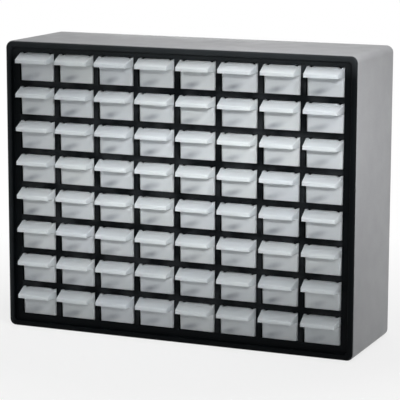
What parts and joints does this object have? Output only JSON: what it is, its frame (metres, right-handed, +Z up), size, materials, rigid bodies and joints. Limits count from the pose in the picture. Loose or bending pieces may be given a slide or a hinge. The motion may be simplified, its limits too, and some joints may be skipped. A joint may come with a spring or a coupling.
{
  "type": "parts cabinet",
  "caption": "Small-parts cabinet: grey plastic shell, black front frame and rows of clear sliding drawers with hooded pulls, to stand on a bench or hang on a wall",
  "frame": {"origin": "under the middle of the whole cabinet, pulls included, on the plane it stands on", "axes": "+X along the width to the viewer's right when facing the drawers, +Y from the drawers to the back, +Z up"},
  "size_m": [0.508, 0.175, 0.4016],
  "materials": {
    "shell_plastic": "fine matt moulded texture",
    "frame_plastic": "satin moulded black",
    "drawer_plastic": "hazy natural clear, lightly glossy"
  },
  "bodies": {
    "cabinet": {"shell": "shell_plastic", "front_frame": "frame_plastic", "runner_rack": "frame_plastic"},
    "drawer_r1c1": {"drawer_r1c1": "drawer_plastic"},
    "drawer_r1c2": {"drawer_r1c2": "drawer_plastic"},
    "drawer_r1c3": {"drawer_r1c3": "drawer_plastic"},
    "drawer_r1c4": {"drawer_r1c4": "drawer_plastic"},
    "drawer_r1c5": {"drawer_r1c5": "drawer_plastic"},
    "drawer_r1c6": {"drawer_r1c6": "drawer_plastic"},
    "drawer_r1c7": {"drawer_r1c7": "drawer_plastic"},
    "drawer_r1c8": {"drawer_r1c8": "drawer_plastic"},
    "drawer_r2c1": {"drawer_r2c1": "drawer_plastic"},
    "drawer_r2c2": {"drawer_r2c2": "drawer_plastic"},
    "drawer_r2c3": {"drawer_r2c3": "drawer_plastic"},
    "drawer_r2c4": {"drawer_r2c4": "drawer_plastic"},
    "drawer_r2c5": {"drawer_r2c5": "drawer_plastic"},
    "drawer_r2c6": {"drawer_r2c6": "drawer_plastic"},
    "drawer_r2c7": {"drawer_r2c7": "drawer_plastic"},
    "drawer_r2c8": {"drawer_r2c8": "drawer_plastic"},
    "drawer_r3c1": {"drawer_r3c1": "drawer_plastic"},
    "drawer_r3c2": {"drawer_r3c2": "drawer_plastic"},
    "drawer_r3c3": {"drawer_r3c3": "drawer_plastic"},
    "drawer_r3c4": {"drawer_r3c4": "drawer_plastic"},
    "drawer_r3c5": {"drawer_r3c5": "drawer_plastic"},
    "drawer_r3c6": {"drawer_r3c6": "drawer_plastic"},
    "drawer_r3c7": {"drawer_r3c7": "drawer_plastic"},
    "drawer_r3c8": {"drawer_r3c8": "drawer_plastic"},
    "drawer_r4c1": {"drawer_r4c1": "drawer_plastic"},
    "drawer_r4c2": {"drawer_r4c2": "drawer_plastic"},
    "drawer_r4c3": {"drawer_r4c3": "drawer_plastic"},
    "drawer_r4c4": {"drawer_r4c4": "drawer_plastic"},
    "drawer_r4c5": {"drawer_r4c5": "drawer_plastic"},
    "drawer_r4c6": {"drawer_r4c6": "drawer_plastic"},
    "drawer_r4c7": {"drawer_r4c7": "drawer_plastic"},
    "drawer_r4c8": {"drawer_r4c8": "drawer_plastic"},
    "drawer_r5c1": {"drawer_r5c1": "drawer_plastic"},
    "drawer_r5c2": {"drawer_r5c2": "drawer_plastic"},
    "drawer_r5c3": {"drawer_r5c3": "drawer_plastic"},
    "drawer_r5c4": {"drawer_r5c4": "drawer_plastic"},
    "drawer_r5c5": {"drawer_r5c5": "drawer_plastic"},
    "drawer_r5c6": {"drawer_r5c6": "drawer_plastic"},
    "drawer_r5c7": {"drawer_r5c7": "drawer_plastic"},
    "drawer_r5c8": {"drawer_r5c8": "drawer_plastic"},
    "drawer_r6c1": {"drawer_r6c1": "drawer_plastic"},
    "drawer_r6c2": {"drawer_r6c2": "drawer_plastic"},
    "drawer_r6c3": {"drawer_r6c3": "drawer_plastic"},
    "drawer_r6c4": {"drawer_r6c4": "drawer_plastic"},
    "drawer_r6c5": {"drawer_r6c5": "drawer_plastic"},
    "drawer_r6c6": {"drawer_r6c6": "drawer_plastic"},
    "drawer_r6c7": {"drawer_r6c7": "drawer_plastic"},
    "drawer_r6c8": {"drawer_r6c8": "drawer_plastic"},
    "drawer_r7c1": {"drawer_r7c1": "drawer_plastic"},
    "drawer_r7c2": {"drawer_r7c2": "drawer_plastic"},
    "drawer_r7c3": {"drawer_r7c3": "drawer_plastic"},
    "drawer_r7c4": {"drawer_r7c4": "drawer_plastic"},
    "drawer_r7c5": {"drawer_r7c5": "drawer_plastic"},
    "drawer_r7c6": {"drawer_r7c6": "drawer_plastic"},
    "drawer_r7c7": {"drawer_r7c7": "drawer_plastic"},
    "drawer_r7c8": {"drawer_r7c8": "drawer_plastic"},
    "drawers_row_8": {"drawers_row_8": "drawer_plastic"}
  },
  "joints": [
    {"name": "slide_r1c1", "type": "slide", "parent": "cabinet", "child": "drawer_r1c1", "axis": [0, -1, 0], "range_m": [0, 0.1285]},
    {"name": "slide_r1c2", "type": "slide", "parent": "cabinet", "child": "drawer_r1c2", "axis": [0, -1, 0], "range_m": [0, 0.1285]},
    {"name": "slide_r1c3", "type": "slide", "parent": "cabinet", "child": "drawer_r1c3", "axis": [0, -1, 0], "range_m": [0, 0.1285]},
    {"name": "slide_r1c4", "type": "slide", "parent": "cabinet", "child": "drawer_r1c4", "axis": [0, -1, 0], "range_m": [0, 0.1285]},
    {"name": "slide_r1c5", "type": "slide", "parent": "cabinet", "child": "drawer_r1c5", "axis": [0, -1, 0], "range_m": [0, 0.1285]},
    {"name": "slide_r1c6", "type": "slide", "parent": "cabinet", "child": "drawer_r1c6", "axis": [0, -1, 0], "range_m": [0, 0.1285]},
    {"name": "slide_r1c7", "type": "slide", "parent": "cabinet", "child": "drawer_r1c7", "axis": [0, -1, 0], "range_m": [0, 0.1285]},
    {"name": "slide_r1c8", "type": "slide", "parent": "cabinet", "child": "drawer_r1c8", "axis": [0, -1, 0], "range_m": [0, 0.1285]},
    {"name": "slide_r2c1", "type": "slide", "parent": "cabinet", "child": "drawer_r2c1", "axis": [0, -1, 0], "range_m": [0, 0.1285]},
    {"name": "slide_r2c2", "type": "slide", "parent": "cabinet", "child": "drawer_r2c2", "axis": [0, -1, 0], "range_m": [0, 0.1285]},
    {"name": "slide_r2c3", "type": "slide", "parent": "cabinet", "child": "drawer_r2c3", "axis": [0, -1, 0], "range_m": [0, 0.1285]},
    {"name": "slide_r2c4", "type": "slide", "parent": "cabinet", "child": "drawer_r2c4", "axis": [0, -1, 0], "range_m": [0, 0.1285]},
    {"name": "slide_r2c5", "type": "slide", "parent": "cabinet", "child": "drawer_r2c5", "axis": [0, -1, 0], "range_m": [0, 0.1285]},
    {"name": "slide_r2c6", "type": "slide", "parent": "cabinet", "child": "drawer_r2c6", "axis": [0, -1, 0], "range_m": [0, 0.1285]},
    {"name": "slide_r2c7", "type": "slide", "parent": "cabinet", "child": "drawer_r2c7", "axis": [0, -1, 0], "range_m": [0, 0.1285]},
    {"name": "slide_r2c8", "type": "slide", "parent": "cabinet", "child": "drawer_r2c8", "axis": [0, -1, 0], "range_m": [0, 0.1285]},
    {"name": "slide_r3c1", "type": "slide", "parent": "cabinet", "child": "drawer_r3c1", "axis": [0, -1, 0], "range_m": [0, 0.1285]},
    {"name": "slide_r3c2", "type": "slide", "parent": "cabinet", "child": "drawer_r3c2", "axis": [0, -1, 0], "range_m": [0, 0.1285]},
    {"name": "slide_r3c3", "type": "slide", "parent": "cabinet", "child": "drawer_r3c3", "axis": [0, -1, 0], "range_m": [0, 0.1285]},
    {"name": "slide_r3c4", "type": "slide", "parent": "cabinet", "child": "drawer_r3c4", "axis": [0, -1, 0], "range_m": [0, 0.1285]},
    {"name": "slide_r3c5", "type": "slide", "parent": "cabinet", "child": "drawer_r3c5", "axis": [0, -1, 0], "range_m": [0, 0.1285]},
    {"name": "slide_r3c6", "type": "slide", "parent": "cabinet", "child": "drawer_r3c6", "axis": [0, -1, 0], "range_m": [0, 0.1285]},
    {"name": "slide_r3c7", "type": "slide", "parent": "cabinet", "child": "drawer_r3c7", "axis": [0, -1, 0], "range_m": [0, 0.1285]},
    {"name": "slide_r3c8", "type": "slide", "parent": "cabinet", "child": "drawer_r3c8", "axis": [0, -1, 0], "range_m": [0, 0.1285]},
    {"name": "slide_r4c1", "type": "slide", "parent": "cabinet", "child": "drawer_r4c1", "axis": [0, -1, 0], "range_m": [0, 0.1285]},
    {"name": "slide_r4c2", "type": "slide", "parent": "cabinet", "child": "drawer_r4c2", "axis": [0, -1, 0], "range_m": [0, 0.1285]},
    {"name": "slide_r4c3", "type": "slide", "parent": "cabinet", "child": "drawer_r4c3", "axis": [0, -1, 0], "range_m": [0, 0.1285]},
    {"name": "slide_r4c4", "type": "slide", "parent": "cabinet", "child": "drawer_r4c4", "axis": [0, -1, 0], "range_m": [0, 0.1285]},
    {"name": "slide_r4c5", "type": "slide", "parent": "cabinet", "child": "drawer_r4c5", "axis": [0, -1, 0], "range_m": [0, 0.1285]},
    {"name": "slide_r4c6", "type": "slide", "parent": "cabinet", "child": "drawer_r4c6", "axis": [0, -1, 0], "range_m": [0, 0.1285]},
    {"name": "slide_r4c7", "type": "slide", "parent": "cabinet", "child": "drawer_r4c7", "axis": [0, -1, 0], "range_m": [0, 0.1285]},
    {"name": "slide_r4c8", "type": "slide", "parent": "cabinet", "child": "drawer_r4c8", "axis": [0, -1, 0], "range_m": [0, 0.1285]},
    {"name": "slide_r5c1", "type": "slide", "parent": "cabinet", "child": "drawer_r5c1", "axis": [0, -1, 0], "range_m": [0, 0.1285]},
    {"name": "slide_r5c2", "type": "slide", "parent": "cabinet", "child": "drawer_r5c2", "axis": [0, -1, 0], "range_m": [0, 0.1285]},
    {"name": "slide_r5c3", "type": "slide", "parent": "cabinet", "child": "drawer_r5c3", "axis": [0, -1, 0], "range_m": [0, 0.1285]},
    {"name": "slide_r5c4", "type": "slide", "parent": "cabinet", "child": "drawer_r5c4", "axis": [0, -1, 0], "range_m": [0, 0.1285]},
    {"name": "slide_r5c5", "type": "slide", "parent": "cabinet", "child": "drawer_r5c5", "axis": [0, -1, 0], "range_m": [0, 0.1285]},
    {"name": "slide_r5c6", "type": "slide", "parent": "cabinet", "child": "drawer_r5c6", "axis": [0, -1, 0], "range_m": [0, 0.1285]},
    {"name": "slide_r5c7", "type": "slide", "parent": "cabinet", "child": "drawer_r5c7", "axis": [0, -1, 0], "range_m": [0, 0.1285]},
    {"name": "slide_r5c8", "type": "slide", "parent": "cabinet", "child": "drawer_r5c8", "axis": [0, -1, 0], "range_m": [0, 0.1285]},
    {"name": "slide_r6c1", "type": "slide", "parent": "cabinet", "child": "drawer_r6c1", "axis": [0, -1, 0], "range_m": [0, 0.1285]},
    {"name": "slide_r6c2", "type": "slide", "parent": "cabinet", "child": "drawer_r6c2", "axis": [0, -1, 0], "range_m": [0, 0.1285]},
    {"name": "slide_r6c3", "type": "slide", "parent": "cabinet", "child": "drawer_r6c3", "axis": [0, -1, 0], "range_m": [0, 0.1285]},
    {"name": "slide_r6c4", "type": "slide", "parent": "cabinet", "child": "drawer_r6c4", "axis": [0, -1, 0], "range_m": [0, 0.1285]},
    {"name": "slide_r6c5", "type": "slide", "parent": "cabinet", "child": "drawer_r6c5", "axis": [0, -1, 0], "range_m": [0, 0.1285]},
    {"name": "slide_r6c6", "type": "slide", "parent": "cabinet", "child": "drawer_r6c6", "axis": [0, -1, 0], "range_m": [0, 0.1285]},
    {"name": "slide_r6c7", "type": "slide", "parent": "cabinet", "child": "drawer_r6c7", "axis": [0, -1, 0], "range_m": [0, 0.1285]},
    {"name": "slide_r6c8", "type": "slide", "parent": "cabinet", "child": "drawer_r6c8", "axis": [0, -1, 0], "range_m": [0, 0.1285]},
    {"name": "slide_r7c1", "type": "slide", "parent": "cabinet", "child": "drawer_r7c1", "axis": [0, -1, 0], "range_m": [0, 0.1285]},
    {"name": "slide_r7c2", "type": "slide", "parent": "cabinet", "child": "drawer_r7c2", "axis": [0, -1, 0], "range_m": [0, 0.1285]},
    {"name": "slide_r7c3", "type": "slide", "parent": "cabinet", "child": "drawer_r7c3", "axis": [0, -1, 0], "range_m": [0, 0.1285]},
    {"name": "slide_r7c4", "type": "slide", "parent": "cabinet", "child": "drawer_r7c4", "axis": [0, -1, 0], "range_m": [0, 0.1285]},
    {"name": "slide_r7c5", "type": "slide", "parent": "cabinet", "child": "drawer_r7c5", "axis": [0, -1, 0], "range_m": [0, 0.1285]},
    {"name": "slide_r7c6", "type": "slide", "parent": "cabinet", "child": "drawer_r7c6", "axis": [0, -1, 0], "range_m": [0, 0.1285]},
    {"name": "slide_r7c7", "type": "slide", "parent": "cabinet", "child": "drawer_r7c7", "axis": [0, -1, 0], "range_m": [0, 0.1285]},
    {"name": "slide_r7c8", "type": "slide", "parent": "cabinet", "child": "drawer_r7c8", "axis": [0, -1, 0], "range_m": [0, 0.1285]},
    {"name": "slide_row_8", "type": "slide", "parent": "cabinet", "child": "drawers_row_8", "axis": [0, -1, 0], "range_m": [0, 0.1285]}
  ]
}
